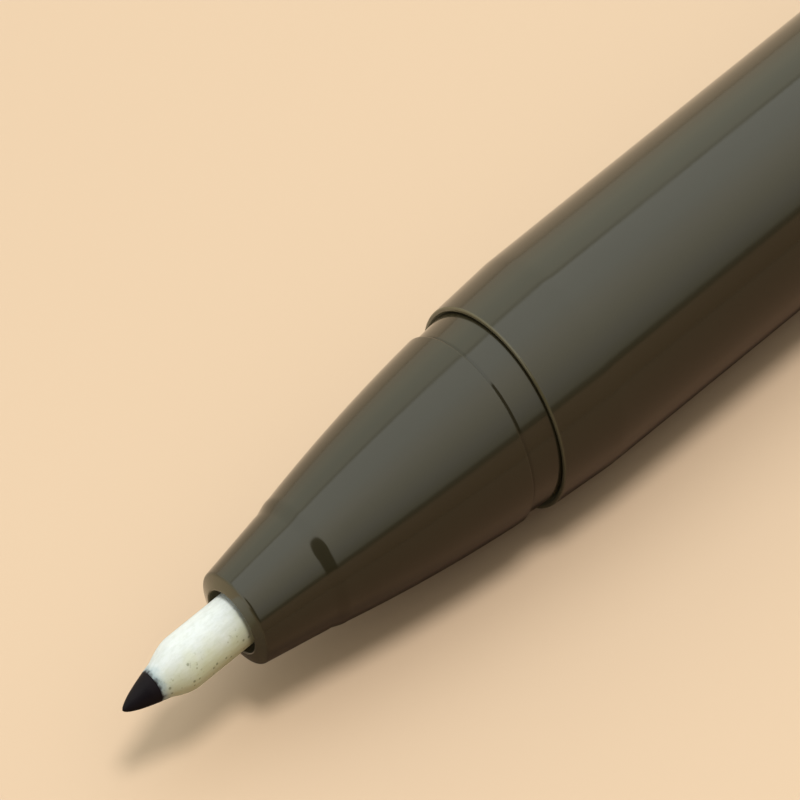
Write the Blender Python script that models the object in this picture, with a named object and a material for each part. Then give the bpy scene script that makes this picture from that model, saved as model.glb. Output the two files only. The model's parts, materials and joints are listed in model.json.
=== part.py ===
"""A fibre-tipped brush pen with its cap posted on the tail, as an assembly of separate pieces.

The pen lies along X with +Z up. A station is a distance in millimetres from the nib's point towards the tail, and a
depth is a distance in millimetres from the cap's mouth towards its closed end. The origin is the centre of the flat
end of the posted cap, and +X points out of it, so the nib's point is at the most negative X.
"""

import math

import bmesh
import bpy

MM = 0.001
SIDES = 48  # flats round a large turned piece
FINE_SIDES = 24  # flats round the nib, the wick and their holder
FIT = 0.05  # gap between pieces that are pressed together
LOOSE = 0.1  # gap at the end of a pressed-in shoulder

# Barrel
BARREL_R = 5.5
BARREL_BORE_R = 4.5
MOUTH_STATION = 24.65
MOUTH_R = 5.24
MOUTH_EDGE = 0.12
MOUTH_CHAMFER = 0.08  # leads the section's collar into the socket
KNEE_STATION = 28.35
TAIL_STEP_STATION = 111.0
TAIL_R = 5.25
BARREL_END_STATION = 125.0
SOCKET_R = 4.98  # the recess in the barrel's mouth that takes the section's collar
SOCKET_DEPTH = 1.9

# Tail plug
PEN_END_STATION = 128.0
PLUG_SPIGOT_LENGTH = 7.0
PLUG_WALL = 0.9
PLUG_END_WALL = 1.6

# Nose section: a slim snout, a soft step, a swelling cone, a collar and a spigot that enters the barrel
SNOUT_STATION = 7.1
SNOUT_R = 2.44
SNOUT_FACE_R = 1.9  # the flat of the snout's mouth, in front of its sloping face
SNOUT_SLOPE = 0.3
SNOUT_INNER_EDGE = 0.12
SNOUT_BORE_R = 1.66
STEP_STATION = 11.15
STEP_LENGTH = 1.1
STEP_FRONT_R = 3.08
STEP_REAR_R = 3.35
CONE_MID_R = 4.22
CONE_END_STATION = 22.85
CONE_END_R = 4.8
GROOVE_R = 4.68  # a fine groove parts the cone from the collar
COLLAR_FRONT_R = 4.76
COLLAR_R = 4.93
SPIGOT_R = 4.38
SPIGOT_END_STATION = 36.0

# Nib: a porous white sleeve round a black ink wick that comes out as the point
NIB_R = 1.37
POINT_SCALE = 0.53  # the point's radius is POINT_SCALE times the station to the power POINT_POWER
POINT_POWER = 0.62
SHOULDER_START = 2.5
SHOULDER_END = 4.0
INK_LINE_STATION = 1.9
INK_LINE_GAP = 0.03
WICK_R = 0.55
WICK_BORE_R = 0.62
WICK_END_STATION = 46.0
FLEX_STATION = 8.85
FLEX_GAP = 0.4
SHANK_END_STATION = 18.0

# Nib holder, pressed into the nose section from behind
HOLDER_R = 2.1
HOLDER_BORE_R = 1.43
HOLDER_START_STATION = 9.9
HOLDER_FLANGE_STATION = 19.5
HOLDER_END_STATION = 21.5
HOLDER_FLANGE_R = 3.2

# Ink reservoir: a fibre bundle in a film sleeve
RESERVOIR_START_STATION = 36.4
RESERVOIR_END_STATION = 117.4
FIBRE_R = 3.9
FILM_BORE_R = 3.95
FILM_R = 4.15
WICK_HOLE_R = 0.75
WICK_HOLE_DEPTH = 10.4

# Cap
CAP_R = 6.15
CAP_BORE_R = 5.4
CAP_LENGTH = 40.0
CAP_INSERTION = 13.0
CROWN_HEAD = 3.4
CROWN_SPIGOT = 4.0
CROWN_BORE_R = 3.9
CROWN_END_WALL = 2.6
INNER_CAP_LIP_DEPTH = 14.6
INNER_CAP_FLOOR_DEPTH = 29.5
INNER_CAP_END_DEPTH = 31.5
INNER_CAP_BORE_R = 3.25
INNER_CAP_R = 3.95

# Clip
CLIP_WIDTH = 3.6
CLIP_TIP_WIDTH = 2.6
CLIP_STANDOFF = 1.1
CLIP_THICKNESS = 1.1
CLIP_TIP_DEPTH = 6.0
CLIP_ROOT_DEPTHS = (37.3, 39.0)
CLIP_ROOT_R = 4.55
CLIP_PIVOT_R = 5.4
CLIP_PAD_GAP = 0.3
CLIP_EDGE = 0.3
POCKET_GAP = 0.2

OVERALL = PEN_END_STATION - CAP_INSERTION + CAP_LENGTH
CAP_MOUTH_STATION = PEN_END_STATION - CAP_INSERTION
CLIP_OUTER_R = CAP_R + CLIP_STANDOFF + CLIP_THICKNESS
CLIP_PIVOT_DEPTH = sum(CLIP_ROOT_DEPTHS) / 2


def clear_scene():
    for obj in list(bpy.data.objects):
        bpy.data.objects.remove(obj, do_unlink=True)


def x_at(station):
    """The X coordinate in metres of a station in millimetres."""
    return (station - OVERALL) * MM


def in_cap(depth_and_radius_pairs):
    """Turns (depth, radius) pairs into (station, radius) pairs of the posted cap."""
    return [(CAP_MOUTH_STATION + depth, radius) for depth, radius in depth_and_radius_pairs]


def clip_turn():
    """How far the clip is turned from straight down for both the clip and a flat of the cap to touch the table."""
    half_width = CLIP_WIDTH / 2
    corner_r = math.hypot(CLIP_OUTER_R, half_width)
    flat_r = CAP_R * math.cos(math.pi / SIDES)
    return math.acos(flat_r / corner_r) + math.atan2(half_width, CLIP_OUTER_R)


def make_material(name, colour, roughness):
    material = bpy.data.materials.new(name)
    material.use_nodes = True
    shader = material.node_tree.nodes["Principled BSDF"]
    shader.inputs["Base Color"].default_value = (*colour, 1.0)
    shader.inputs["Roughness"].default_value = roughness
    shader.inputs["Metallic"].default_value = 0.0
    return material


def add_object(name, bm, material):
    """Turns a finished bmesh into a named object that is shaded smooth but for its sharp edges."""
    bmesh.ops.recalc_face_normals(bm, faces=bm.faces)
    mesh = bpy.data.meshes.new(name)
    bm.to_mesh(mesh)
    bm.free()
    obj = bpy.data.objects.new(name, mesh)
    bpy.context.scene.collection.objects.link(obj)
    if material:
        mesh.materials.append(material)
    mesh.shade_smooth()
    mesh.set_sharp_from_angle(angle=math.radians(30))
    return obj


def turned(name, outline, material, sides=SIDES, origin_station=0.0):
    """A piece turned about the pen's axis from (station, radius) pairs, with a flat facing straight down. The outline
    closes on itself, unless both of its ends lie on the axis."""
    bm = bmesh.new()
    y, z = math.sin(math.pi / sides) * MM, math.cos(math.pi / sides) * MM
    verts = [bm.verts.new(((station - origin_station) * MM, radius * y, radius * z)) for station, radius in outline]
    closed = outline[0][1] > 0
    pairs = list(zip(verts, verts[1:] + verts[:1])) if closed else list(zip(verts, verts[1:]))
    edges = [bm.edges.new(pair) for pair in pairs]
    bmesh.ops.spin(
        bm,
        geom=verts + edges,
        cent=(0, 0, 0),
        axis=(1, 0, 0),
        angle=2 * math.pi,
        steps=sides,
        use_merge=True,
    )
    bmesh.ops.remove_doubles(bm, verts=bm.verts, dist=0.0001 * MM)
    obj = add_object(name, bm, material)
    obj.location.x = x_at(origin_station)
    return obj


def bar(name, outline, width, material):
    """A bar with a side outline of (X, Z) pairs in millimetres, centred across its width along Y."""
    bm = bmesh.new()
    side = bm.faces.new([bm.verts.new((x * MM, -width / 2 * MM, z * MM)) for x, z in outline])
    grown = bmesh.ops.extrude_face_region(bm, geom=[side])
    moved = [item for item in grown["geom"] if isinstance(item, bmesh.types.BMVert)]
    bmesh.ops.translate(bm, verts=moved, vec=(0, width * MM, 0))
    return add_object(name, bm, material)


def cut(obj, cutter):
    """Cuts an object with a guide that stays in the file, hidden."""
    cutter.hide_render = True
    cutter.display_type = "WIRE"
    boolean = obj.modifiers.new(cutter.name, "BOOLEAN")
    boolean.operation = "DIFFERENCE"
    boolean.solver = "EXACT"
    boolean.object = cutter


def nib_radius(station):
    """The nib's radius: a blunt point, then a shoulder that rounds into the shank."""
    if station <= SHOULDER_START:
        return POINT_SCALE * station**POINT_POWER
    if station >= SHOULDER_END:
        return NIB_R
    start_r = POINT_SCALE * SHOULDER_START**POINT_POWER
    swell = math.sin(math.pi / 2 * (station - SHOULDER_START) / (SHOULDER_END - SHOULDER_START))
    return start_r + (NIB_R - start_r) * swell


def nib_outline(start, end, count):
    """(station, radius) pairs along the nib's surface, closer together towards the point."""
    stations = [start + (end - start) * (i / count) ** 1.5 for i in range(count + 1)]
    return [(station, nib_radius(station)) for station in stations]


def build_barrel(material):
    floor = MOUTH_STATION + SOCKET_DEPTH
    edge = MOUTH_EDGE
    outside = [
        (MOUTH_STATION + MOUTH_CHAMFER, SOCKET_R),
        (MOUTH_STATION, SOCKET_R + MOUTH_CHAMFER),
        (MOUTH_STATION, MOUTH_R - edge),
        (MOUTH_STATION + edge, MOUTH_R),
        (KNEE_STATION - 0.5, BARREL_R - 0.05),
        (KNEE_STATION + 0.3, BARREL_R),
        (TAIL_STEP_STATION, BARREL_R),
        (TAIL_STEP_STATION + 0.3, TAIL_R),
        (BARREL_END_STATION, TAIL_R),
    ]
    inside = [
        (BARREL_END_STATION, BARREL_BORE_R),
        (floor, BARREL_BORE_R),
        (floor, SOCKET_R),
    ]
    turned("barrel", outside + inside, material)


def build_tail_plug(material):
    spigot_r = BARREL_BORE_R - FIT
    start = BARREL_END_STATION - PLUG_SPIGOT_LENGTH
    shoulder = BARREL_END_STATION + LOOSE
    turned("tail_plug", [
        (PEN_END_STATION - PLUG_END_WALL, 0),
        (PEN_END_STATION - PLUG_END_WALL, spigot_r - PLUG_WALL),
        (start, spigot_r - PLUG_WALL),
        (start, spigot_r - 0.2),
        (start + 0.4, spigot_r),
        (shoulder, spigot_r),
        (shoulder, TAIL_R),
        (PEN_END_STATION - 0.7, TAIL_R),
        (PEN_END_STATION - 0.2, TAIL_R - 0.3),
        (PEN_END_STATION, TAIL_R - 0.9),
        (PEN_END_STATION, 0),
    ], material)


def build_nose_section(material):
    step_end = STEP_STATION + STEP_LENGTH
    collar_end = MOUTH_STATION + SOCKET_DEPTH - LOOSE
    outside = [
        (SNOUT_STATION, SNOUT_BORE_R + SNOUT_INNER_EDGE),
        (SNOUT_STATION, SNOUT_FACE_R),
        (SNOUT_STATION + 0.8 * SNOUT_SLOPE, SNOUT_R - 0.1),
        (SNOUT_STATION + 1.2 * SNOUT_SLOPE, SNOUT_R),
        (STEP_STATION, STEP_FRONT_R),
        (step_end, STEP_REAR_R),
        ((step_end + CONE_END_STATION) / 2, CONE_MID_R),
        (CONE_END_STATION, CONE_END_R),
        (CONE_END_STATION + 0.06, GROOVE_R),
        (CONE_END_STATION + 0.22, COLLAR_FRONT_R),
        (MOUTH_STATION, COLLAR_R),
        (collar_end, COLLAR_R),
        (collar_end, SPIGOT_R),
        (SPIGOT_END_STATION - 0.5, SPIGOT_R),
        (SPIGOT_END_STATION, SPIGOT_R - 0.3),
    ]
    inside = [
        (SPIGOT_END_STATION, HOLDER_FLANGE_R + FIT),
        (HOLDER_FLANGE_STATION - FIT, HOLDER_FLANGE_R + FIT),
        (HOLDER_FLANGE_STATION - FIT, HOLDER_R + FIT),
        (HOLDER_START_STATION - FIT, HOLDER_R + FIT),
        (HOLDER_START_STATION - FIT, SNOUT_BORE_R),
        (SNOUT_STATION + SNOUT_INNER_EDGE, SNOUT_BORE_R),
    ]
    turned("nose_section", outside + inside, material)


def build_nib_holder(material):
    turned("nib_holder", [
        (HOLDER_START_STATION, HOLDER_BORE_R),
        (HOLDER_START_STATION, HOLDER_R),
        (HOLDER_FLANGE_STATION, HOLDER_R),
        (HOLDER_FLANGE_STATION, HOLDER_FLANGE_R),
        (HOLDER_END_STATION, HOLDER_FLANGE_R),
        (HOLDER_END_STATION, HOLDER_BORE_R),
    ], material)


def build_nib(sleeve_material, ink_material):
    """The free front of the nib turns about its flex axis, and its shank stays in the holder behind it."""
    free_end = FLEX_STATION - FLEX_GAP / 2
    held_start = FLEX_STATION + FLEX_GAP / 2
    sleeve = nib_outline(INK_LINE_STATION + INK_LINE_GAP, SHOULDER_END, 5)
    sleeve += [(free_end, NIB_R), (free_end, WICK_BORE_R), (sleeve[0][0], WICK_BORE_R)]
    turned("nib_sleeve", sleeve, sleeve_material, FINE_SIDES, FLEX_STATION)
    point = nib_outline(0, INK_LINE_STATION, 6)
    point += [(INK_LINE_STATION, WICK_R), (free_end, WICK_R), (free_end, 0)]
    turned("ink_point", point, ink_material, FINE_SIDES, FLEX_STATION)
    turned("nib_shank", [
        (held_start, WICK_BORE_R),
        (held_start, NIB_R),
        (SHANK_END_STATION, NIB_R),
        (SHANK_END_STATION, WICK_BORE_R),
    ], sleeve_material, FINE_SIDES)
    turned("ink_wick", [
        (held_start, 0),
        (held_start, WICK_R),
        (WICK_END_STATION - 1, WICK_R),
        (WICK_END_STATION, WICK_R - 0.3),
        (WICK_END_STATION, 0),
    ], ink_material, FINE_SIDES)


def build_reservoir(fibre_material, film_material):
    hole_end = RESERVOIR_START_STATION + WICK_HOLE_DEPTH
    turned("reservoir_fibre", [
        (hole_end, 0),
        (hole_end, WICK_HOLE_R),
        (RESERVOIR_START_STATION, WICK_HOLE_R),
        (RESERVOIR_START_STATION, FIBRE_R),
        (RESERVOIR_END_STATION, FIBRE_R),
        (RESERVOIR_END_STATION, 0),
    ], fibre_material)
    turned("reservoir_film", [
        (RESERVOIR_START_STATION, FILM_BORE_R),
        (RESERVOIR_START_STATION, FILM_R),
        (RESERVOIR_END_STATION, FILM_R),
        (RESERVOIR_END_STATION, FILM_BORE_R),
    ], film_material)


def build_cap_shell(material):
    end = CAP_LENGTH - CROWN_HEAD - LOOSE
    turned("cap_shell", in_cap([
        (0.15, CAP_BORE_R),
        (0, CAP_BORE_R + 0.15),
        (0, CAP_R - 0.25),
        (0.25, CAP_R),
        (end, CAP_R),
        (end, CAP_BORE_R),
    ]), material)


def build_cap_inner(material):
    """The inner cap closes round the snout when the pen is capped, and keeps the nib from drying out."""
    turned("cap_inner", in_cap([
        (INNER_CAP_FLOOR_DEPTH, 0),
        (INNER_CAP_FLOOR_DEPTH, INNER_CAP_BORE_R - 0.1),
        (INNER_CAP_LIP_DEPTH + 0.6, INNER_CAP_BORE_R - 0.1),
        (INNER_CAP_LIP_DEPTH, INNER_CAP_BORE_R + 0.15),
        (INNER_CAP_LIP_DEPTH, INNER_CAP_R - 0.2),
        (INNER_CAP_LIP_DEPTH + 0.4, INNER_CAP_R),
        (INNER_CAP_FLOOR_DEPTH, INNER_CAP_R),
        (INNER_CAP_FLOOR_DEPTH, CAP_BORE_R - FIT),
        (INNER_CAP_END_DEPTH, CAP_BORE_R - FIT),
        (INNER_CAP_END_DEPTH, 0),
    ]), material)


def build_cap_crown(material):
    head = CAP_LENGTH - CROWN_HEAD
    start = head - CROWN_SPIGOT
    spigot_r = CAP_BORE_R - FIT
    crown = turned("cap_crown", in_cap([
        (CAP_LENGTH - CROWN_END_WALL, 0),
        (CAP_LENGTH - CROWN_END_WALL, CROWN_BORE_R),
        (start, CROWN_BORE_R),
        (start, spigot_r - 0.2),
        (start + 0.4, spigot_r),
        (head, spigot_r),
        (head, CAP_R),
        (CAP_LENGTH - 0.8, CAP_R),
        (CAP_LENGTH - 0.2, CAP_R - 0.25),
        (CAP_LENGTH, CAP_R - 0.8),
        (CAP_LENGTH, 0),
    ]), material)
    cut(crown, build_clip_pocket())


def place_in_clip_frame(obj):
    """Moves a piece drawn round the clip's pivot, with +Z away from the cap, to its place on the cap."""
    turn = clip_turn()
    obj.rotation_euler.x = math.pi - turn
    out_y = -math.sin(turn)
    out_z = -math.cos(turn)
    obj.location = (
        x_at(CAP_MOUTH_STATION + CLIP_PIVOT_DEPTH),
        out_y * CLIP_PIVOT_R * MM,
        out_z * CLIP_PIVOT_R * MM,
    )
    return obj


def round_pivot(depth_and_radius_pairs):
    """Turns (depth, radius) pairs into (X, Z) pairs round the clip's pivot."""
    return [(depth - CLIP_PIVOT_DEPTH, radius - CLIP_PIVOT_R) for depth, radius in depth_and_radius_pairs]


def build_clip_pocket():
    front = CLIP_ROOT_DEPTHS[0] - POCKET_GAP
    back = CLIP_ROOT_DEPTHS[1] + POCKET_GAP
    floor = CLIP_ROOT_R - POCKET_GAP
    outline = [(front, floor), (back, floor), (back, CAP_R + 1), (front, CAP_R + 1)]
    pocket = bar("clip_pocket", round_pivot(outline), CLIP_WIDTH + 2 * POCKET_GAP, None)
    return place_in_clip_frame(pocket)


def build_clip(material):
    underside = CAP_R + CLIP_STANDOFF
    pad = CAP_R + CLIP_PAD_GAP
    front, back = CLIP_ROOT_DEPTHS
    outline = [
        (front, CLIP_ROOT_R),
        (back, CLIP_ROOT_R),
        (back, CLIP_OUTER_R - 0.6),
        (back - 0.6, CLIP_OUTER_R),
        (CLIP_TIP_DEPTH + 0.5, CLIP_OUTER_R),
        (CLIP_TIP_DEPTH, CLIP_OUTER_R - 0.5),
        (CLIP_TIP_DEPTH, underside - 0.1),
        (CLIP_TIP_DEPTH + 2, pad),
        (CLIP_TIP_DEPTH + 3.6, pad),
        (CLIP_TIP_DEPTH + 6, underside),
        (front, underside),
    ]
    clip = bar("cap_clip", round_pivot(outline), CLIP_WIDTH, material)
    for vertex in clip.data.vertices:
        depth = vertex.co.x / MM + CLIP_PIVOT_DEPTH
        share = max(0, (front - depth) / (front - CLIP_TIP_DEPTH))
        vertex.co.y *= 1 - share * (1 - CLIP_TIP_WIDTH / CLIP_WIDTH)
    place_in_clip_frame(clip)
    bevel = clip.modifiers.new("edges", "BEVEL")
    bevel.width = CLIP_EDGE * MM
    bevel.segments = 1
    bevel.limit_method = "ANGLE"
    bevel.angle_limit = math.radians(60)


def build_pen():
    olive = make_material("olive_plastic", (0.085, 0.082, 0.062), 0.22)
    milky = make_material("natural_plastic", (0.78, 0.79, 0.76), 0.4)
    nib_white = make_material("nib_fibre", (0.82, 0.83, 0.74), 0.75)
    ink = make_material("black_ink", (0.012, 0.011, 0.014), 0.45)
    soaked = make_material("soaked_fibre", (0.03, 0.03, 0.035), 0.8)
    film = make_material("clear_film", (0.6, 0.62, 0.62), 0.2)
    build_barrel(olive)
    build_tail_plug(olive)
    build_nose_section(olive)
    build_nib_holder(milky)
    build_nib(nib_white, ink)
    build_reservoir(soaked, film)
    build_cap_shell(olive)
    build_cap_inner(milky)
    build_cap_crown(olive)
    build_clip(olive)


clear_scene()
build_pen()
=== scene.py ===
"""Looks of the brush pen: fine turned meshes, procedural materials, soft studio light and the camera.

Stations are millimetres from the nib's point towards the tail, and depths are millimetres from the cap's
mouth towards its closed end. Radii are millimetres from the pen's axis, which is the X axis. Meshes are in
metres.
"""

import json
import math

import bmesh
import bpy
from mathutils import Matrix, Vector


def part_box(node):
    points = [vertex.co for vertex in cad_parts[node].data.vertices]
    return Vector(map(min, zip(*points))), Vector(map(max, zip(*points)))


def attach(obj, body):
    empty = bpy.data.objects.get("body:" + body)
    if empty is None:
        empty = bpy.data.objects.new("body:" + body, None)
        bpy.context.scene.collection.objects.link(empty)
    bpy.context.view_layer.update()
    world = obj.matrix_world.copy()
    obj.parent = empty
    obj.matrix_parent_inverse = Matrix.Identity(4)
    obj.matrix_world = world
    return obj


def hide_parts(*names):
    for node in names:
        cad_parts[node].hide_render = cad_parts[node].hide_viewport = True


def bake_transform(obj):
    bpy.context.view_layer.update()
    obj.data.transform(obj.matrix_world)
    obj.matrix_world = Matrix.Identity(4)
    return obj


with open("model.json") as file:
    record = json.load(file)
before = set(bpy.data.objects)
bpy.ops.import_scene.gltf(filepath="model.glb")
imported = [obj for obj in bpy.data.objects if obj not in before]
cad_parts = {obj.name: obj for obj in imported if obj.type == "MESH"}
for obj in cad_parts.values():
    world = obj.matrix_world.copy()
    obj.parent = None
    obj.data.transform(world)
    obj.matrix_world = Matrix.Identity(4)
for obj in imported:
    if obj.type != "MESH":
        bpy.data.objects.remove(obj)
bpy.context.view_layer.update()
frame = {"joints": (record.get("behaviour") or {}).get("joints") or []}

MM = 0.001
SIDES = 160  # of a turned piece
FINE_SIDES = 96  # of a slim or hidden one
ARC_STEPS = 6
HOLD = 0.03  # a straight part's shading is held flat by a point this far from its fillet
SHARP_DEGREES = 40


# ---------------------------------------------------------------- places read from the frame


def start_of(node):
    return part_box(node)[0].x


def end_of(node):
    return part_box(node)[1].x


def radius_of(node):
    """A turned node's largest radius, in millimetres."""
    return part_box(node)[1].z / MM


TIP_X = start_of("ink_point")


def station_of(x):
    return (x - TIP_X) / MM


MOUTH = station_of(start_of("barrel"))
BARREL_END = station_of(end_of("barrel"))
BARREL_R = radius_of("barrel")
SNOUT = station_of(start_of("nose_section"))
CONE_END_R = radius_of("nose_section")
SPIGOT_END = station_of(end_of("nose_section"))
NIB_R = radius_of("nib_sleeve")
INK_LINE = station_of(start_of("nib_sleeve"))
SHANK_END = station_of(end_of("nib_shank"))
WICK_END = station_of(end_of("ink_wick"))
WICK_R = radius_of("ink_wick")
TAIL_R = radius_of("tail_plug")
PLUG_START = station_of(start_of("tail_plug"))
PEN_END = station_of(end_of("tail_plug"))
CAP_MOUTH = station_of(start_of("cap_shell"))
CAP_R = radius_of("cap_shell")
CAP_END = station_of(end_of("cap_crown"))
CLIP_JOINT = next(joint for joint in frame["joints"] if joint["name"] == "clip_flex")


# ---------------------------------------------------------------- mesh tools


def rounded(corners, closed):
    """Replaces each corner (station, radius, fillet) by a true arc of its fillet radius, with a point just
    beyond each end of it. A fillet of 0 stays sharp."""
    points = []
    count = len(corners)
    for i, (s, r, fillet) in enumerate(corners):
        here = Vector((s, r))
        if not fillet or (not closed and i in (0, count - 1)):
            points.append(here)
            continue
        before = Vector(corners[i - 1][:2]) - here
        after = Vector(corners[(i + 1) % count][:2]) - here
        turn = math.pi - before.angle(after)
        reach = min(fillet * math.tan(turn / 2), 0.49 * before.length, 0.49 * after.length)
        first = here + before.normalized() * reach
        last = here + after.normalized() * reach
        weight = math.cos(turn / 2)
        if before.length > 2 * reach + 4 * HOLD:
            points.append(first + before.normalized() * HOLD)
        for k in range(ARC_STEPS + 1):
            t = k / ARC_STEPS
            a, b, c = (1 - t) ** 2, 2 * weight * t * (1 - t), t * t
            points.append((first * a + here * b + last * c) / (a + b + c))
        if after.length > 2 * reach + 4 * HOLD:
            points.append(last + after.normalized() * HOLD)
    return points


def finish_mesh(name, bm, material):
    bmesh.ops.recalc_face_normals(bm, faces=bm.faces)
    mesh = bpy.data.meshes.new(name)
    bm.to_mesh(mesh)
    bm.free()
    mesh.materials.append(material)
    mesh.shade_smooth()
    mesh.set_sharp_from_angle(angle=math.radians(SHARP_DEGREES))
    obj = bpy.data.objects.new(name, mesh)
    bpy.context.scene.collection.objects.link(obj)
    return obj


def lathe(name, outline, material, sides=SIDES, relief=None):
    """Turns an outline of (station, radius) points about the pen's axis. An outline that starts on the axis
    ends on it too, and any other closes on itself. relief(station, radius, angle) changes a radius."""
    bm = bmesh.new()
    rings = []
    for s, r in outline:
        x = TIP_X + s * MM
        if r == 0:
            rings.append([bm.verts.new((x, 0, 0))])
            continue
        ring = []
        for k in range(sides):
            angle = 2 * math.pi * k / sides
            out = (relief(s, r, angle) if relief else r) * MM
            ring.append(bm.verts.new((x, out * math.sin(angle), out * math.cos(angle))))
        rings.append(ring)
    pairs = list(zip(rings, rings[1:]))
    if outline[0][1] > 0:
        pairs.append((rings[-1], rings[0]))
    for a, b in pairs:
        for k in range(sides):
            n = (k + 1) % sides
            corners = [a[k % len(a)], a[n % len(a)], b[n % len(b)], b[k % len(b)]]
            face = list(dict.fromkeys(corners))
            if len(face) > 2:
                bm.faces.new(face)
    return finish_mesh(name, bm, material)


def smoothstep(t):
    t = max(0.0, min(1.0, t))
    return t * t * (3 - 2 * t)


# ---------------------------------------------------------------- node tools


class Nodes:
    """Builds a material's node tree in a few words. Its patterns stay on a piece that moves or bends, because
    they are laid out over rest_place, which is where each point of the piece is at rest."""

    def __init__(self, name, moves=True):
        self.material = bpy.data.materials.new(name)
        self.material.use_nodes = True
        self.tree = self.material.node_tree
        self.shader = self.tree.nodes["Principled BSDF"]
        if moves:
            self.place = self.attribute("rest_place").outputs["Vector"]
        else:
            self.place = self.tree.nodes.new("ShaderNodeTexCoord").outputs["Object"]

    def attribute(self, name):
        node = self.tree.nodes.new("ShaderNodeAttribute")
        node.attribute_name = name
        return node

    def link(self, value, socket):
        if isinstance(value, bpy.types.NodeSocket):
            self.tree.links.new(value, socket)
        elif isinstance(value, (tuple, list)) and len(value) == 3 and socket.type == "RGBA":
            socket.default_value = (*value, 1.0)
        else:
            socket.default_value = value
        return self

    def set(self, **inputs):
        for name, value in inputs.items():
            self.link(value, self.shader.inputs[name.replace("_", " ")])
        return self

    def math(self, operation, *values, clamp=False):
        node = self.tree.nodes.new("ShaderNodeMath")
        node.operation = operation
        node.use_clamp = clamp
        for value, socket in zip(values, node.inputs):
            self.link(value, socket)
        return node.outputs[0]

    def stretched(self, scale):
        node = self.tree.nodes.new("ShaderNodeMapping")
        self.link(self.place, node.inputs["Vector"])
        node.inputs["Scale"].default_value = scale
        return node.outputs[0]

    def noise(self, scale, detail=2.0, stretch=None, roughness=0.5):
        node = self.tree.nodes.new("ShaderNodeTexNoise")
        self.link(self.stretched(stretch) if stretch else self.place, node.inputs["Vector"])
        node.inputs["Scale"].default_value = scale
        node.inputs["Detail"].default_value = detail
        node.inputs["Roughness"].default_value = roughness
        return node.outputs["Fac"]

    def specks(self, scale, size, share):
        """Small round spots in a share of a Voronoi texture's cells: 1 inside a spot."""
        node = self.tree.nodes.new("ShaderNodeTexVoronoi")
        self.link(self.place, node.inputs["Vector"])
        node.inputs["Scale"].default_value = scale
        spot = self.ramp(node.outputs["Distance"], size * 0.5, size, 1.0, 0.0)
        pick = self.tree.nodes.new("ShaderNodeSeparateColor")
        self.link(node.outputs["Color"], pick.inputs["Color"])
        chosen = self.math("LESS_THAN", pick.outputs["Red"], share)
        return self.math("MULTIPLY", spot, chosen)

    def ramp(self, value, low, high, out_low=0.0, out_high=1.0):
        node = self.tree.nodes.new("ShaderNodeMapRange")
        node.interpolation_type = "SMOOTHSTEP"
        for name, number in (("Value", value), ("From Min", low), ("From Max", high)):
            self.link(number, node.inputs[name])
        node.inputs["To Min"].default_value = out_low
        node.inputs["To Max"].default_value = out_high
        return node.outputs["Result"]

    def mix(self, share, a, b):
        node = self.tree.nodes.new("ShaderNodeMix")
        node.data_type = "RGBA"
        colours = [socket for socket in node.inputs if socket.type == "RGBA"]
        self.link(share, node.inputs["Factor"])
        self.link(a, colours[0])
        self.link(b, colours[1])
        return next(socket for socket in node.outputs if socket.type == "RGBA")

    def along(self, axis):
        """One coordinate of the place, in millimetres; X runs from the nib's point."""
        node = self.tree.nodes.new("ShaderNodeSeparateXYZ")
        self.link(self.place, node.inputs[0])
        value = node.outputs["XYZ".index(axis)]
        if axis == "X":
            value = self.math("SUBTRACT", value, TIP_X)
        return self.math("MULTIPLY", value, 1 / MM)

    def bump(self, height, depth):
        """Raises the surface by up to `depth` millimetres where height is 1."""
        node = self.tree.nodes.new("ShaderNodeBump")
        self.link(height, node.inputs["Height"])
        node.inputs["Distance"].default_value = depth * MM
        self.tree.links.new(node.outputs["Normal"], self.shader.inputs["Normal"])
        return self


# ---------------------------------------------------------------- materials


RIM_GLOW = 0.045  # painted glow: emission that stands in for light coming through a thin rim


def olive_plastic(name):
    """Glossy olive-grey moulding: a faint flow mottle, soft orange peel, dust, and thin rims with painted
    light, a lighter warm tint and a glow that stand in for light coming through them.
    """
    n = Nodes(name)
    mottle = n.noise(260, 3, stretch=(0.35, 1, 1))
    body = n.mix(mottle, (0.0125, 0.0105, 0.0055), (0.0175, 0.0150, 0.0080))
    # painted rim light: where the rim mask is set, the colour turns a light warm olive that stands in for
    # light through the thin plastic
    rim = n.attribute("painted_rim_light").outputs["Fac"]
    body = n.mix(rim, body, (0.118, 0.106, 0.062))
    dust = n.specks(900, 0.05, 0.05)
    body = n.mix(n.math("MULTIPLY", dust, 0.3), body, (0.30, 0.29, 0.26))
    handling = n.noise(900, 4, stretch=(0.25, 1, 1))
    peel = n.noise(2600, 2)
    rough = n.math("ADD", n.ramp(handling, 0.35, 0.75, 0.085, 0.13), n.math("MULTIPLY", dust, 0.3))
    n.set(Base_Color=body, Roughness=rough, IOR=1.5)
    # painted glow: the rims give off light though they are no lamp
    glow = n.math("MULTIPLY", rim, RIM_GLOW)
    n.set(Emission_Color=(1.0, 0.82, 0.45), Emission_Strength=glow)
    n.bump(n.math("ADD", peel, n.math("MULTIPLY", dust, 3.0)), 0.0012)
    return n.material


INK_WANDER = 0.55  # how far the ink's edge wanders along the nib
INK_SOAK = 0.22  # how far the ink soaks into the sleeve
BLEED_REACH = 0.7


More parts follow.
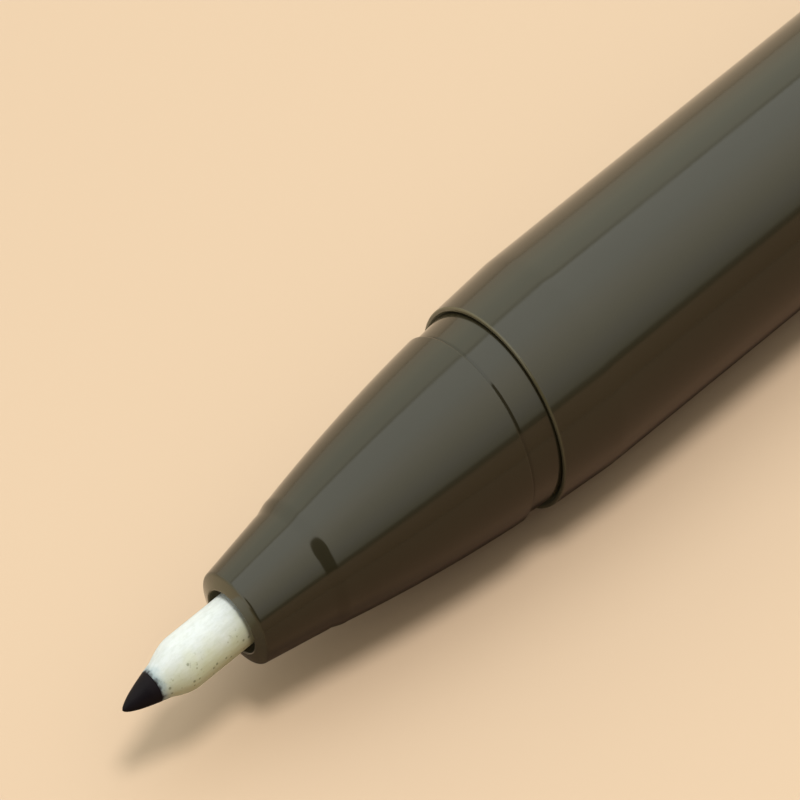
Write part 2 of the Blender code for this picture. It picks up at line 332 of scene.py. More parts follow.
def nib_felt(name):
    """Off-white pressed fibre: lengthwise fibres, a greenish darkening on the low side away from the light,
    partly damp ink and partly painted shade with bounce light from the table, specks there, and a blue-grey
    bleed and a ragged black line where the ink begins."""
    n = Nodes(name)
    fibres = n.noise(2600, 3, stretch=(0.12, 1, 1))
    cloud = n.noise(700, 3)
    body = n.mix(fibres, (0.39, 0.425, 0.45), (0.56, 0.59, 0.62))
    mottle = n.noise(5200, 4, stretch=(0.45, 1, 1), roughness=0.7)
    body = n.mix(n.ramp(mottle, 0.42, 0.66, 0.0, 0.30), body, (0.34, 0.37, 0.36))
    # painted shade: the side away from the light turns a darker greenish yellow, partly damp ink and partly
    # painted shade with bounce light from the table
    up_y, up_z = (n.math("MULTIPLY", n.along(axis), share) for axis, share in (("Y", 0.88), ("Z", 0.48)))
    toward_light = n.math("ADD", up_y, up_z)
    shaded_low_side = n.ramp(n.math("ADD", toward_light, n.math("MULTIPLY", cloud, 1.6)), -0.3, 1.5, 1.0, 0.0)
    body = n.mix(n.math("MULTIPLY", shaded_low_side, 0.8), body, (0.37, 0.385, 0.235))
    station = n.along("X")
    wander = n.math("MULTIPLY", n.math("SUBTRACT", n.noise(3000, 4), 0.5), INK_WANDER)
    reach = n.math("ADD", station, wander)
    bleed = n.ramp(reach, INK_LINE, INK_LINE + BLEED_REACH, 1.0, 0.0)
    body = n.mix(n.math("MULTIPLY", bleed, 0.85), body, (0.19, 0.25, 0.29))
    ink = n.ramp(reach, INK_LINE - 0.06, INK_LINE + INK_SOAK, 1.0, 0.0)
    body = n.mix(ink, body, (0.012, 0.011, 0.015))
    blots = n.ramp(n.noise(3600, 3, roughness=0.6), 0.62, 0.72)
    stains = n.math("MAXIMUM", n.specks(3400, 0.32, 0.35), n.math("MULTIPLY", blots, 0.6))
    stains = n.math("MULTIPLY", stains, n.ramp(shaded_low_side, 0.15, 0.7))
    body = n.mix(n.math("MULTIPLY", stains, 0.75), body, (0.13, 0.14, 0.09))
    n.set(Base_Color=body, Roughness=n.ramp(fibres, 0.3, 0.7, 0.62, 0.8), IOR=1.45)
    n.set(Subsurface_Weight=0.35, Subsurface_Radius=(0.6, 0.55, 0.4), Subsurface_Scale=0.4 * MM)
    n.bump(n.math("ADD", fibres, mottle), 0.016)
    return n.material


def inked_felt(name):
    """The same fibre full of black ink, with a damp, slightly violet sheen."""
    n = Nodes(name)
    fibres = n.noise(2600, 3, stretch=(0.12, 1, 1))
    damp = n.noise(1300, 2)
    body = n.mix(damp, (0.003, 0.0025, 0.004), (0.009, 0.007, 0.009))
    n.set(Base_Color=body, Roughness=n.ramp(damp, 0.3, 0.7, 0.42, 0.6), IOR=1.17)
    n.bump(fibres, 0.008)
    return n.material


def natural_plastic(name):
    """Milky, unpigmented polyethylene with faint drag marks from the mould."""
    n = Nodes(name)
    cloud = n.noise(300, 2)
    drag = n.noise(1500, 2, stretch=(0.05, 1, 1))
    body = n.mix(cloud, (0.70, 0.71, 0.67), (0.80, 0.80, 0.77))
    n.set(Base_Color=body, Roughness=n.ramp(drag, 0.3, 0.7, 0.32, 0.46), IOR=1.5)
    n.set(Subsurface_Weight=0.5, Subsurface_Radius=(1.0, 0.9, 0.8), Subsurface_Scale=0.8 * MM)
    n.bump(drag, 0.004)
    return n.material


def soaked_bundle(name):
    """Ink-soaked polyester fibres, packed lengthwise."""
    n = Nodes(name)
    fibres = n.noise(4200, 4, stretch=(0.03, 1, 1))
    bands = n.noise(120, 2)
    body = n.mix(fibres, (0.010, 0.010, 0.014), (0.060, 0.060, 0.075))
    body = n.mix(n.ramp(bands, 0.4, 0.7, 0.0, 0.35), body, (0.11, 0.11, 0.13))
    n.set(Base_Color=body, Roughness=0.72, IOR=1.4)
    n.bump(fibres, 0.05)
    return n.material


def wrap_film(name):
    """Thin clear film with faint wrap lines, through which the dark bundle shows."""
    n = Nodes(name)
    lines = n.noise(900, 2, stretch=(1, 0.1, 0.1))
    body = n.mix(lines, (0.30, 0.31, 0.32), (0.42, 0.43, 0.44))
    n.set(Base_Color=body, Roughness=n.ramp(lines, 0.3, 0.7, 0.12, 0.24), IOR=1.5, Alpha=0.45)
    n.bump(lines, 0.006)
    return n.material


OLIVE = olive_plastic("olive_plastic")
FELT = nib_felt("nib_felt")
INK = inked_felt("inked_felt")
NATURAL = natural_plastic("natural_plastic")
BUNDLE = soaked_bundle("soaked_bundle")
FILM = wrap_film("wrap_film")


TO_WINDOW = Vector((0, 0.88, 0.48))  # the lit side, from which the painted rim light comes
SHADED_RIM = 0.35  # the painted rim light on the shaded side, away from the window, as a share of that on the lit side


def mark_rims(obj, thinness):
    """Stores the mask of painted rim light: thinness(station, radius), strongest on the lit side towards the
    window.
    """
    rim = obj.data.attributes.new("painted_rim_light", "FLOAT", "POINT")
    for vertex, item in zip(obj.data.vertices, rim.data):
        radius = math.hypot(vertex.co.y, vertex.co.z) / MM
        lit = 0.5 + 0.5 * TO_WINDOW.dot(vertex.co) / max(radius * MM, MM)
        share = SHADED_RIM + (1 - SHADED_RIM) * smoothstep(lit)
        item.value = thinness(station_of(vertex.co.x), radius) * share


def no_rim(station, radius):
    return 0.0


def remember_rest(obj):
    """Stores rest_place, over which the materials lay out their patterns."""
    rest = obj.data.attributes.new("rest_place", "FLOAT_VECTOR", "POINT")
    for vertex, item in zip(obj.data.vertices, rest.data):
        item.vector = vertex.co


def place(obj, body, slot, *nodes):
    """The piece moves with a body and stands for some CAD nodes, which it hides. Its slot is not used."""
    remember_rest(obj)
    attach(obj, body)
    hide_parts(*nodes)


# ---------------------------------------------------------------- barrel and tail plug

MOUTH_R = 5.24
SOCKET_R = 4.98
MOUTH_CHAMFER = 0.08
SOCKET_DEPTH = 1.9
KNEE = MOUTH + 3.7
BORE_R = 4.5
TAIL_STEP = BARREL_END - 14.0


def barrel_rim(station, radius):
    """Painted rim light on the mouth's face and bevel, and on the front of the wall inside it."""
    reach = 0.3 if radius < MOUTH_R - 0.1 else 0.02
    return 0.5 * (1.0 - smoothstep((station - MOUTH - reach) / 0.09))


def build_barrel():
    outline = rounded([
        (MOUTH + MOUTH_CHAMFER, SOCKET_R, 0.05),
        (MOUTH, SOCKET_R + MOUTH_CHAMFER, 0.04),
        (MOUTH, MOUTH_R, 0.18),
        (KNEE, BARREL_R, 9.0),
        (TAIL_STEP, BARREL_R, 0.25),
        (TAIL_STEP + 0.3, TAIL_R, 0.15),
        (BARREL_END, TAIL_R, 0.12),
        (BARREL_END, BORE_R, 0.1),
        (MOUTH + SOCKET_DEPTH, BORE_R, 0.05),
        (MOUTH + SOCKET_DEPTH, SOCKET_R, 0.05),
    ], closed=True)
    barrel = lathe("barrel_tube", outline, OLIVE)
    mark_rims(barrel, barrel_rim)
    place(barrel, "barrel", "body_plastic", "barrel")


def build_tail_plug():
    spigot_r = BORE_R - 0.05
    outline = rounded([
        (PEN_END - 1.6, 0, 0),
        (PEN_END - 1.6, spigot_r - 0.9, 0.4),
        (PLUG_START, spigot_r - 0.9, 0.15),
        (PLUG_START, spigot_r, 0.4),
        (BARREL_END + 0.1, spigot_r, 0.05),
        (BARREL_END + 0.1, TAIL_R, 0.12),
        (PEN_END, TAIL_R, 0.9),
        (PEN_END, 0.8, 0.05),
        (PEN_END - 0.15, 0.75, 0.05),
        (PEN_END - 0.15, 0, 0),
    ], closed=False)
    plug = lathe("tail_end_plug", outline, OLIVE)
    mark_rims(plug, no_rim)
    place(plug, "barrel", "body_plastic", "tail_plug")


# ---------------------------------------------------------------- nose section and nib holder

SNOUT_R = 2.44
SNOUT_BORE_R = 1.66
SNOUT_SLOPE = 0.3  # how far the snout's sloping face leans back
STEP = SNOUT + 4.05
STEP_LENGTH = 1.1
STEP_FRONT_R = 3.08
STEP_REAR_R = 3.35
CONE_END = SNOUT + 15.75
CONE_BULGE = 0.145
GROOVE_R = 4.68
COLLAR_FRONT_R = 4.76
COLLAR_R = 4.93
SPIGOT_R = 4.38
HOLDER_START = station_of(start_of("nib_holder"))
HOLDER_END = station_of(end_of("nib_holder"))
HOLDER_FLANGE_R = radius_of("nib_holder")
HOLDER_FLANGE = HOLDER_END - 2.0
HOLDER_R = 2.1
HOLDER_BORE_R = 1.43
FIT = 0.05


def cone_curve():
    """The soft step behind the snout, then the swelling cone, as (station, radius, fillet) corners."""
    steps = 10
    cone_start = STEP + STEP_LENGTH
    points = []
    for k in range(steps + 1):
        t = k / steps
        radius = STEP_FRONT_R + (STEP_REAR_R - STEP_FRONT_R) * smoothstep(t)
        points.append((STEP + STEP_LENGTH * t, radius, 0))
    for k in range(1, steps):
        t = k / steps
        radius = STEP_REAR_R + (CONE_END_R - STEP_REAR_R) * t + 4 * CONE_BULGE * t * (1 - t)
        points.append((cone_start + (CONE_END - cone_start) * t, radius, 0))
    return points


def snout_rim(station, radius):
    """Painted rim light on the snout's sloping face, and on the front of the bore."""
    reach = 0.6 if radius < SNOUT_BORE_R + 0.05 else 0.2
    return 0.4 * (1.0 - smoothstep((station - SNOUT - reach) / 0.2))


def build_nose_section():
    collar_end = MOUTH + SOCKET_DEPTH - 0.1
    outline = rounded([
        (SNOUT, SNOUT_BORE_R, 0.1),
        (SNOUT + SNOUT_SLOPE, SNOUT_R, 0.2),
        *cone_curve(),
        (CONE_END, CONE_END_R, 0.08),
        (CONE_END + 0.05, GROOVE_R, 0.05),
        (CONE_END + 0.22, COLLAR_FRONT_R, 0.12),
        (MOUTH, COLLAR_R, 0.5),
        (collar_end, COLLAR_R, 0.05),
        (collar_end, SPIGOT_R, 0.05),
        (SPIGOT_END, SPIGOT_R, 0.5),
        (SPIGOT_END, HOLDER_FLANGE_R + FIT, 0.1),
        (HOLDER_FLANGE - FIT, HOLDER_FLANGE_R + FIT, 0.05),
        (HOLDER_FLANGE - FIT, HOLDER_R + FIT, 0.05),
        (HOLDER_START - FIT, HOLDER_R + FIT, 0.05),
        (HOLDER_START - FIT, SNOUT_BORE_R, 0.05),
    ], closed=True)
    section = lathe("nose_cone", outline, OLIVE)
    mark_rims(section, snout_rim)
    place(section, "section", "body_plastic", "nose_section")


def build_nib_holder():
    """A flanged tube with four air grooves across its flange."""
    def air_grooves(s, r, angle):
        groove = s > HOLDER_FLANGE - 0.01 and r > HOLDER_R + 0.3 and abs(math.sin(2 * angle)) < 0.2
        return r - 0.5 if groove else r

    outline = rounded([
        (HOLDER_START, HOLDER_BORE_R, 0.1),
        (HOLDER_START, HOLDER_R, 0.2),
        (HOLDER_FLANGE, HOLDER_R, 0.1),
        (HOLDER_FLANGE, HOLDER_FLANGE_R, 0.15),
        (HOLDER_END, HOLDER_FLANGE_R, 0.15),
        (HOLDER_END, HOLDER_BORE_R, 0.1),
    ], closed=True)
    holder = lathe("nib_holder_tube", outline, NATURAL, sides=FINE_SIDES, relief=air_grooves)
    place(holder, "section", "natural_plastic", "nib_holder")


# ---------------------------------------------------------------- nib

POINT_SCALE = 0.53  # the point's radius is POINT_SCALE times the station to the power POINT_POWER
POINT_POWER = 0.62
SHOULDER_START = 2.5
SHOULDER_END = 4.0
SLEEVE_BORE_R = 0.62


def nib_radius(station):
    if station <= SHOULDER_START:
        return POINT_SCALE * station**POINT_POWER
    if station >= SHOULDER_END:
        return NIB_R
    start_r = POINT_SCALE * SHOULDER_START**POINT_POWER
    swell = math.sin(math.pi / 2 * (station - SHOULDER_START) / (SHOULDER_END - SHOULDER_START))
    return start_r + (NIB_R - start_r) * swell


def stations(start, end, count, power=1.0):
    return [start + (end - start) * (i / count) ** power for i in range(count + 1)]


def bend_with_nib(obj, slot, *nodes):
    remember_rest(obj)
    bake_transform(obj)
    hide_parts(*nodes)


def build_nib():
    front = [(s, nib_radius(s)) for s in stations(INK_LINE, SHOULDER_END, 24)]
    shank = [(s, NIB_R) for s in stations(SHOULDER_END, SHANK_END, 60)[1:]]
    bore = [(s, SLEEVE_BORE_R) for s in stations(SHANK_END, INK_LINE, 60)]
    sleeve = lathe("nib_felt_sleeve", front + shank + bore, FELT, sides=FINE_SIDES)
    bend_with_nib(sleeve, "nib_fibre", "nib_sleeve", "nib_shank")
    line = INK_LINE - 0.02
    point = [(s, nib_radius(s)) for s in stations(0, line, 20, 1.8)]
    point += [(line, WICK_R)]
    point += [(s, WICK_R) for s in stations(line, WICK_END - 0.6, 150)[1:]]
    point += [(WICK_END, WICK_R - 0.3), (WICK_END, 0)]
    wick = lathe("ink_wick_and_point", point, INK, sides=FINE_SIDES)
    bend_with_nib(wick, "ink", "ink_point", "ink_wick")


# ---------------------------------------------------------------- reservoir

FIBRE_R = radius_of("reservoir_fibre")
FILM_R = radius_of("reservoir_film")
BUNDLE_START = station_of(start_of("reservoir_fibre"))
BUNDLE_END = station_of(end_of("reservoir_fibre"))
WICK_HOLE_R = 0.75
WICK_HOLE_END = BUNDLE_START + 10.4


def build_reservoir():
    def fibres(s, r, angle):
        return r - 0.04 * abs(math.sin(17 * angle)) if r > 3 else r

    bundle = lathe("fibre_bundle", rounded([
        (WICK_HOLE_END, 0, 0),
        (WICK_HOLE_END, WICK_HOLE_R, 0),
        (BUNDLE_START, WICK_HOLE_R, 0.1),
        (BUNDLE_START, FIBRE_R, 0.3),
        (BUNDLE_END, FIBRE_R, 0.3),
        (BUNDLE_END, 0, 0),
    ], closed=False), BUNDLE, relief=fibres)
    place(bundle, "barrel", "reservoir_fibre", "reservoir_fibre")
    film = lathe("bundle_film", rounded([
        (BUNDLE_START, FILM_R - 0.2, 0.05),
        (BUNDLE_START, FILM_R, 0.05),
        (BUNDLE_END, FILM_R, 0.05),
        (BUNDLE_END, FILM_R - 0.2, 0.05),
    ], closed=True), FILM)
    place(film, "barrel", "reservoir_film", "reservoir_film")


# ---------------------------------------------------------------- cap and clip

CAP_BORE_R = 5.4
CROWN_SEAM = station_of(end_of("cap_shell")) - CAP_MOUTH + 0.1
CAP_LENGTH = CAP_END - CAP_MOUTH
CROWN_START = station_of(start_of("cap_crown")) - CAP_MOUTH
INNER_LIP = station_of(start_of("cap_inner")) - CAP_MOUTH
INNER_END = station_of(end_of("cap_inner")) - CAP_MOUTH
INNER_FLOOR = INNER_END - 2.0
INNER_BORE_R = 3.15
INNER_R = 3.95
GRIP_RIBS = 6
GRIP_RIB_HEIGHT = 0.1


def in_cap(corners):
    return [(CAP_MOUTH + depth, radius, fillet) for depth, radius, fillet in corners]


def cap_rim(station, radius):
    """Painted rim light on the face of the cap's mouth."""
    return 0.6 * (1.0 - smoothstep((station - CAP_MOUTH) / 0.15)) if radius < CAP_R - 0.05 else 0.0


def build_cap_shell():
    """The cap's tube. Low ribs inside its mouth grip the pen's tail."""
    def grip_ribs(s, r, angle):
        depth = s - CAP_MOUTH
        inside = r < CAP_BORE_R + 0.01 and 0.6 < depth < 12.5
        on_rib = math.cos(GRIP_RIBS * angle) > 0.9
        return r - GRIP_RIB_HEIGHT if inside and on_rib else r

    outline = rounded(in_cap([
        (0, CAP_BORE_R, 0.15),
        (0, CAP_R, 0.3),
        (CROWN_SEAM - 0.1, CAP_R, 0.12),
        (CROWN_SEAM - 0.1, CAP_BORE_R, 0),
        (12.6, CAP_BORE_R, 0),
        (12.4, CAP_BORE_R, 0),
        (0.8, CAP_BORE_R, 0),
        (0.5, CAP_BORE_R, 0),
    ]), closed=True)
    shell = lathe("cap_tube", outline, OLIVE, relief=grip_ribs)
    mark_rims(shell, cap_rim)
    place(shell, "cap", "body_plastic", "cap_shell")


def build_cap_inner():
    outline = rounded(in_cap([
        (INNER_FLOOR, 0, 0),
        (INNER_FLOOR, INNER_BORE_R, 0.6),
        (INNER_LIP + 0.6, INNER_BORE_R, 0.2),
        (INNER_LIP, INNER_BORE_R + 0.25, 0.1),
        (INNER_LIP, INNER_R, 0.3),
        (INNER_FLOOR, INNER_R, 0.2),
        (INNER_FLOOR, CAP_BORE_R - FIT, 0.2),
        (INNER_END, CAP_BORE_R - FIT, 0.2),
        (INNER_END, 0, 0),
    ]), closed=False)
    inner = lathe("inner_cap_cup", outline, NATURAL, sides=FINE_SIDES)
    place(inner, "cap", "natural_plastic", "cap_inner")


def clip_space():
    """The clip's own space: +X towards the cap's closed end, +Z away from the cap, Y across the clip."""
    across = Vector(CLIP_JOINT["axis"])
    along = Vector((1, 0, 0))
    outward = along.cross(across)
    pivot = Vector(CLIP_JOINT["pos_m"])
    if outward.dot(Vector((0, pivot.y, pivot.z))) < 0:
        outward, across = -outward, -across
    origin = Vector((TIP_X + CAP_MOUTH * MM, 0, 0))
    return origin, along, across, outward


CLIP_WIDTH = 3.6
CLIP_TIP_WIDTH = 2.6
CLIP_TIP = station_of(start_of("cap_clip")) - CAP_MOUTH
CLIP_BACK = station_of(end_of("cap_clip")) - CAP_MOUTH
CLIP_FRONT = CLIP_BACK - 1.7
CLIP_ROOT_R = 4.55
CLIP_UNDERSIDE = CAP_R + 1.1
CLIP_TOP = CLIP_UNDERSIDE + 1.1
CLIP_PAD = CAP_R + 0.3
CLIP_EDGE = 0.3
CLIP_CROWN = 0.16
POCKET_GAP = 0.2


def upright(name, outline, half_width, layers, material, inset):
    """Stacks one (depth, radius) outline across the clip's width, drawn in by inset(side, point) near its
    sides. The layers run from -1 on one side to 1 on the other."""
    origin, along, across, outward = clip_space()
    count = len(outline)
    bm = bmesh.new()
    rings = []
    for side in layers:
        ring = []
        for i, point in enumerate(outline):
            tangent = (outline[(i + 1) % count] - outline[i - 1]).normalized()
            normal = Vector((-tangent.y, tangent.x))
            depth, radius = point + normal * inset(side, point)
            y = side * half_width(depth)
            ring.append(bm.verts.new(origin + (along * depth + across * y + outward * radius) * MM))
        rings.append(ring)
    for a, b in zip(rings, rings[1:]):
        for i in range(count):
            n = (i + 1) % count
            bm.faces.new((a[i], a[n], b[n], b[i]))
    sides = [bm.faces.new(rings[0]), bm.faces.new(rings[-1])]
    bmesh.ops.triangulate(bm, faces=sides)
    return finish_mesh(name, bm, material)


def build_cap_crown():
    """The plug in the cap's end, with a slot for the clip's root cut through its side."""
    spigot_r = CAP_BORE_R - FIT
    bore_r = spigot_r - 1.35
    outline = rounded(in_cap([
        (CAP_LENGTH - 2.6, 0, 0),
        (CAP_LENGTH - 2.6, bore_r, 0.3),
        (CROWN_START, bore_r, 0.15),
        (CROWN_START, spigot_r, 0.4),
        (CROWN_SEAM, spigot_r, 0.05),
        (CROWN_SEAM, CAP_R, 0.12),
        (CAP_LENGTH, CAP_R, 0.75),
        (CAP_LENGTH, 1.0, 0.06),
        (CAP_LENGTH - 0.12, 0.95, 0.06),
        (CAP_LENGTH - 0.12, 0, 0),
    ]), closed=False)
    crown = lathe("cap_end_crown", outline, OLIVE)
    front, back = CLIP_FRONT - POCKET_GAP, CLIP_BACK + POCKET_GAP
    floor = CLIP_ROOT_R - POCKET_GAP
    open_r = CAP_R + 1
    slot = [Vector(corner) for corner in ((front, floor), (back, floor), (back, open_r), (front, open_r))]
    half_width = CLIP_WIDTH / 2 + POCKET_GAP
    cutter = upright("slot_cutter", slot, lambda depth: half_width, (-1, 1), OLIVE, lambda *_: 0)
    cut = crown.modifiers.new("slot", "BOOLEAN")
    cut.operation = "DIFFERENCE"
    cut.solver = "EXACT"
    cut.object = cutter
    view = bpy.context.evaluated_depsgraph_get()
    mesh = bpy.data.meshes.new_from_object(crown.evaluated_get(view))
    crown.modifiers.clear()
    crown.data = mesh
    mesh.shade_smooth()
    mesh.set_sharp_from_angle(angle=math.radians(SHARP_DEGREES))
    bpy.data.objects.remove(cutter)
    mark_rims(crown, no_rim)
    place(crown, "cap", "body_plastic", "cap_crown")


def build_clip():
    """A tapered strap with a crowned top, a bead under its tip that grips cloth, and a foot in the crown."""
    outline = rounded([
        (CLIP_FRONT, CLIP_ROOT_R, 0.45),
        (CLIP_BACK, CLIP_ROOT_R, 0.45),
        (CLIP_BACK, CLIP_TOP, 1.0),
        (CLIP_TIP, CLIP_TOP, 0.75),
        (CLIP_TIP, CLIP_UNDERSIDE - 0.1, 0.45),
        (CLIP_TIP + 2.0, CLIP_PAD, 1.2),
        (CLIP_TIP + 3.6, CLIP_PAD, 1.2),
        (CLIP_TIP + 6.0, CLIP_UNDERSIDE, 2.5),
        (CLIP_FRONT, CLIP_UNDERSIDE, 0.45),
    ], closed=True)
    half_back = CLIP_WIDTH / 2
    half_tip = CLIP_TIP_WIDTH / 2

    def half_width(depth):
        share = max(0.0, (CLIP_FRONT - depth) / (CLIP_FRONT - CLIP_TIP))
        return half_back + (half_tip - half_back) * share

    def inset(side, point):
        past = max(0.0, abs(side) - (1 - CLIP_EDGE / half_back)) * half_back / CLIP_EDGE
        rounding = CLIP_EDGE * (1 - math.sqrt(max(0.0, 1 - past * past)))
        on_top = smoothstep((point.y - CLIP_UNDERSIDE) / 0.9)
        return rounding + CLIP_CROWN * on_top * side * side

    flat = 1 - CLIP_EDGE / half_back
    edge = [flat + (1 - flat) * math.sin(math.pi / 2 * k / 6) for k in range(7)]
    middle = [flat * k / 5 for k in range(-4, 5)]
    layers = [-side for side in reversed(edge)] + middle + edge
    clip = upright("pocket_clip", outline, half_width, layers, OLIVE, inset)
    mark_rims(clip, no_rim)
    place(clip, "clip", "body_plastic", "cap_clip")


# ---------------------------------------------------------------- floor, light and camera

FLOOR_SIDE = 6.0
TABLE_CONTACTS = ((KNEE, BARREL_R), (CAP_MOUTH, CAP_R))
NEAR_SHADE_IN_GLOSS = (0.24, 0.14, 0.085)  # painted shadow: in the plastic's reflections the table is darker at -Y than it looks, as if in shade
UNDER_SHADE_IN_GLOSS = (0.10, 0.055, 0.035)  # painted shadow: darker still under the pen, where its shadow falls
NEAR_EDGES = (1, 5)  # Y in millimetres, over which the first gives way to the table as it looks
UNDER_EDGES = (-8, -4)  # and over which the first gives way to the second


def build_floor():
    """A plain pale table under the two places on which the pen rests."""
    (front, front_r), (rear, rear_r) = TABLE_CONTACTS
    tilt = math.atan2(rear_r - front_r, rear - front)
    mesh = bpy.data.meshes.new("table")
    half = FLOOR_SIDE / 2
    corners = [(-half, -half, 0), (half, -half, 0), (half, half, 0), (-half, half, 0)]
    mesh.from_pydata(corners, [], [(0, 1, 2, 3)])
    table = bpy.data.objects.new("table", mesh)
    bpy.context.scene.collection.objects.link(table)
    table.location = (TIP_X + front * MM, 0, -front_r * MM)
    table.rotation_euler = (0, tilt, 0)
    n = Nodes("table_surface", moves=False)
    surface = n.mix(n.noise(9, 2), (0.425, 0.314, 0.230), (0.455, 0.338, 0.248))
    # painted shadow: rays reflected off the pen see the table darker near the pen and under it than it is
    glossy_ray = n.tree.nodes.new("ShaderNodeLightPath").outputs["Is Glossy Ray"]
    near_side = n.ramp(n.along("Y"), *NEAR_EDGES, 1.0, 0.0)
    under_pen = n.ramp(n.along("Y"), *UNDER_EDGES)
    painted_shade_in_gloss = n.mix(under_pen, NEAR_SHADE_IN_GLOSS, UNDER_SHADE_IN_GLOSS)
    surface = n.mix(n.math("MULTIPLY", glossy_ray, near_side), surface, painted_shade_in_gloss)
    n.set(Base_Color=surface, Roughness=0.6)
    mesh.materials.append(n.material)


# Radiance of the studio round the pen by the angle from overhead, in degrees, towards +Y. A broad softbox
# overhead fades towards -Y and ends at a dark slit, below which the room is dim and warm. A thin dark line at
# +Y parts it from a second softbox behind the pen.
STUDIO = (
    (-90, (0.45, 0.26, 0.145)),
    (-69, (0.58, 0.36, 0.22)),
    (-67, (0.15, 0.12, 0.08)),
    (-63, (0.20, 0.18, 0.13)),
    (-60, (0.70, 0.68, 0.52)),
    (-47, (1.02, 1.00, 0.86)),
    (-28, (1.45, 1.40, 1.12)),
    (-9, (1.78, 1.73, 1.45)),
    (11, (1.88, 1.94, 1.74)),
    (38, (1.92, 1.97, 1.78)),
    (40, (1.10, 1.10, 0.90)),
    (42, (1.10, 1.10, 0.90)),
    (44, (1.50, 1.50, 1.22)),
    (56, (1.42, 1.44, 1.18)),
    (70, (1.38, 1.33, 1.04)),
    (90, (1.00, 0.84, 0.62)),
)
STUDIO_PEAK = 2.1  # a colour ramp holds nothing above 1, so the ramp's colours are shares of this
KEY_WATTS = 2.0
KEY_HEIGHT = 0.5
FRONT_DIM = 0.8  # light from the nib's side, as a share of the light from the tail's side
FRONT_X = (-0.60, -0.25)
SHADE = 0.06  # what is left of the light where the camera or the person behind it stands in the way
CAMERA_SHADE_DEGREES = (21, 26)
PERSON_X = (-0.11, -0.01)  # the person stands at -Y and is dark from the camera down to the dark slit
PERSON_TOP_DEGREES = (-32, -24)
PERSON_FOOT_DEGREES = (-68, -66)


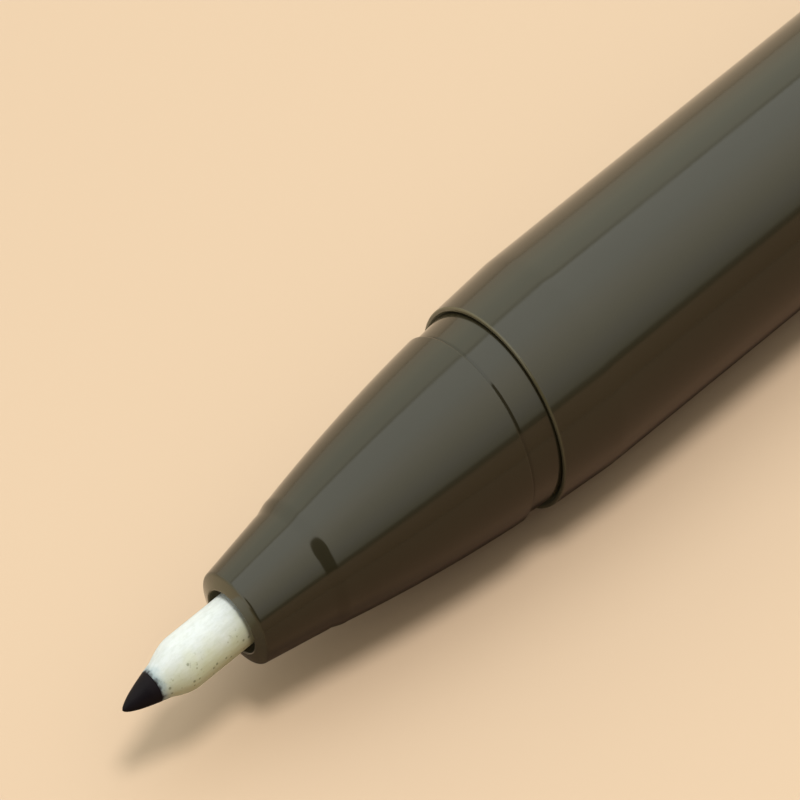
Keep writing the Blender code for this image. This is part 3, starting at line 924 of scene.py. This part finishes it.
def build_world():
    """The studio that the pen reflects and is lit by. The camera itself sees a pale wall."""
    world = bpy.data.worlds.new("studio")
    world.use_nodes = True
    tree = world.node_tree

    def math_node(operation, a, b=None):
        node = tree.nodes.new("ShaderNodeMath")
        node.operation = operation
        for value, socket in zip((a, b), node.inputs):
            if isinstance(value, bpy.types.NodeSocket):
                tree.links.new(value, socket)
            elif value is not None:
                socket.default_value = value
        return node.outputs[0]

    def fade(value, start, end, low, high):
        node = tree.nodes.new("ShaderNodeMapRange")
        node.interpolation_type = "SMOOTHSTEP"
        tree.links.new(value, node.inputs["Value"])
        for name, number in (("From Min", start), ("From Max", end), ("To Min", low), ("To Max", high)):
            node.inputs[name].default_value = number
        return node.outputs["Result"]

    direction = tree.nodes.new("ShaderNodeTexCoord").outputs["Generated"]
    axes = tree.nodes.new("ShaderNodeSeparateXYZ")
    tree.links.new(direction, axes.inputs[0])
    x, y, z = axes.outputs
    roll = math_node("ARCTAN2", y, z)
    share = math_node("ADD", math_node("MULTIPLY", roll, 1 / math.pi), 0.5)
    ramp = tree.nodes.new("ShaderNodeValToRGB")
    tree.links.new(share, ramp.inputs[0])
    stops = ramp.color_ramp.elements
    for index, (degrees, colour) in enumerate(STUDIO):
        stop = stops[index] if index < 2 else stops.new(1.0)
        stop.position = degrees / 180 + 0.5
        stop.color = (*(c / STUDIO_PEAK for c in colour), 1)
    to_camera = tree.nodes.new("ShaderNodeVectorMath")
    to_camera.operation = "DOT_PRODUCT"
    tree.links.new(direction, to_camera.inputs[0])
    to_camera.inputs[1].default_value = -Vector(CAMERA_LOOKS)
    inner, outer = (math.cos(math.radians(degrees)) for degrees in CAMERA_SHADE_DEGREES)
    camera = fade(to_camera.outputs["Value"], outer, inner, 1.0, SHADE)
    top = fade(roll, *map(math.radians, PERSON_TOP_DEGREES), SHADE, 1.0)
    foot = fade(roll, *map(math.radians, PERSON_FOOT_DEGREES), 1.0, SHADE)
    beside = fade(x, *PERSON_X, SHADE, 1.0)
    person = math_node("MAXIMUM", beside, math_node("MAXIMUM", top, foot))
    shade = math_node("MINIMUM", camera, person)
    front = fade(x, *FRONT_X, FRONT_DIM, 1.0)
    studio = tree.nodes["Background"]
    tree.links.new(ramp.outputs[0], studio.inputs["Color"])
    strength = math_node("MULTIPLY", math_node("MULTIPLY", shade, front), STUDIO_PEAK)
    tree.links.new(strength, studio.inputs["Strength"])
    wall = tree.nodes.new("ShaderNodeBackground")
    wall.inputs["Color"].default_value = (0.84, 0.68, 0.50, 1)
    path = tree.nodes.new("ShaderNodeLightPath")
    pick = tree.nodes.new("ShaderNodeMixShader")
    tree.links.new(path.outputs["Is Camera Ray"], pick.inputs[0])
    tree.links.new(studio.outputs[0], pick.inputs[1])
    tree.links.new(wall.outputs[0], pick.inputs[2])
    tree.links.new(pick.outputs[0], tree.nodes["World Output"].inputs["Surface"])
    bpy.context.scene.world = world


def build_key():
    """A soft lamp overhead that draws the shadow beside the pen. It is kept out of the plastic's gloss, where
    the softboxes hide it."""
    light = bpy.data.lights.new("key_lamp", "AREA")
    light.shape = "DISK"
    light.size = 0.14
    light.energy = KEY_WATTS
    light.color = (1.0, 0.97, 0.90)
    lamp = bpy.data.objects.new("key_lamp", light)
    lamp.location = (TIP_X + 0.03, -0.05, KEY_HEIGHT)
    lamp.visible_camera = False
    lamp.visible_glossy = False
    bpy.context.scene.collection.objects.link(lamp)


CAMERA_FROM_TIP = (-57.584, -79.969, 147.187)  # in millimetres
CAMERA_RIGHT = (0.7427, -0.66962, 0.0)
CAMERA_UP = (0.65911, 0.73104, 0.1765)
CAMERA_LOOKS = (0.42367, 0.44706, -0.78781)  # the line of sight to the middle of the picture
CAMERA_LENS = 168.52


def build_camera():
    """The picture is an off-centre part of a wider one, so the line of sight leans away from the lens's own
    axis. A parent's matrix holds that lean, because no plain rotation can."""
    data = bpy.data.cameras.new("camera")
    data.lens = CAMERA_LENS
    data.sensor_width = 36
    data.clip_start = 0.01
    camera = bpy.data.objects.new("camera", data)
    holder = bpy.data.objects.new("camera_holder", None)
    backwards = -Vector(CAMERA_LOOKS)
    lean = Matrix((CAMERA_RIGHT, CAMERA_UP, backwards)).transposed().to_4x4()
    lean.translation = Vector((TIP_X, 0, 0)) + Vector(CAMERA_FROM_TIP) * MM
    camera.parent = holder
    camera.matrix_parent_inverse = lean
    bpy.context.scene.collection.objects.link(holder)
    bpy.context.scene.collection.objects.link(camera)
    bpy.context.scene.camera = camera


build_barrel()
build_tail_plug()
build_nose_section()
build_nib_holder()
build_nib()
build_reservoir()
build_cap_shell()
build_cap_inner()
build_cap_crown()
build_clip()
build_floor()
build_world()
build_key()
build_camera()
bpy.context.scene.view_settings.view_transform = "Standard"
